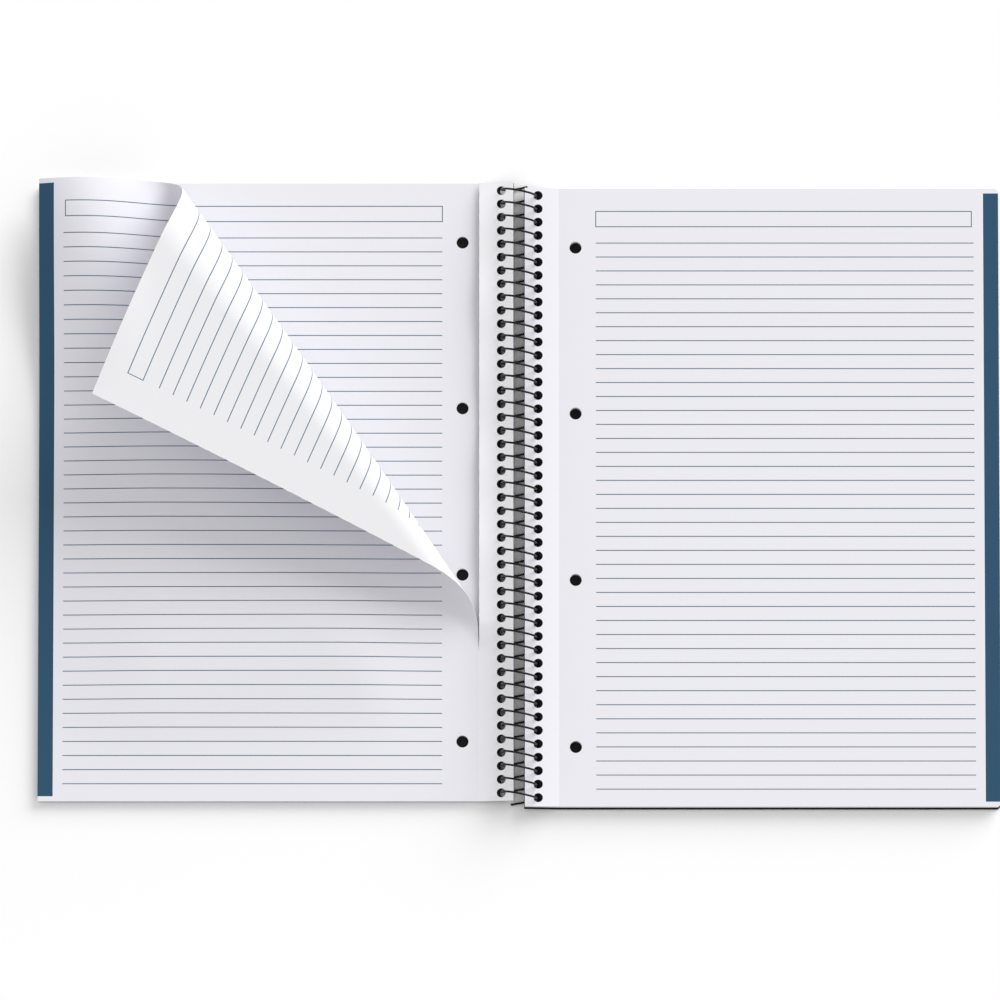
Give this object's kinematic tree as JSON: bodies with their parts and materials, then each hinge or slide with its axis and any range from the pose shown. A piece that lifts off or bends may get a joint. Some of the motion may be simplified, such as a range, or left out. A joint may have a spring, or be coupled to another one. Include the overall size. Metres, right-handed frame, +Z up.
{
  "type": "open spiral notebook",
  "caption": "Spiral-bound writing pad lying open: two covers and two stacks of ruled, perforated leaves on one wire coil, with a leaf torn part way and folded over.",
  "frame": {"origin": "bottom centre of the box around the open notebook, on the table under the wire coil", "axes": "+X towards the right-hand page, +Y towards the head of the pages, +Z up"},
  "size_m": [0.4584, 0.3008, 0.0625],
  "materials": {
    "cover": "fine matt grain",
    "paper": "smooth ruled writing paper with a blue edge band",
    "leaf_paper": "smooth ruled writing paper, plain torn edge",
    "wire": "black coated steel wire, satin"
  },
  "bodies": {
    "right_half": {"right_pages": "paper", "back_cover": "cover"},
    "left_half": {"front_cover": "cover", "left_pages": "paper", "lifted_leaf": "leaf_paper"},
    "spiral": {"spiral_wire": "wire"}
  },
  "joints": [
    {"name": "left_half_turn", "type": "hinge", "parent": "right_half", "child": "left_half", "pos_m": [0, 0, 0.009], "axis": [0, 1, 0], "range_deg": [0, 180], "deforming": ["lifted_leaf"]},
    {"name": "spiral_turn", "type": "hinge", "parent": "right_half", "child": "spiral", "pos_m": [0, 0, 0.009], "axis": [0, 1, 0], "range_deg": [0, 90]}
  ],
  "couplings": [
    {"joint": "spiral_turn", "follows": "left_half_turn", "ratio": 0.48}
  ]
}
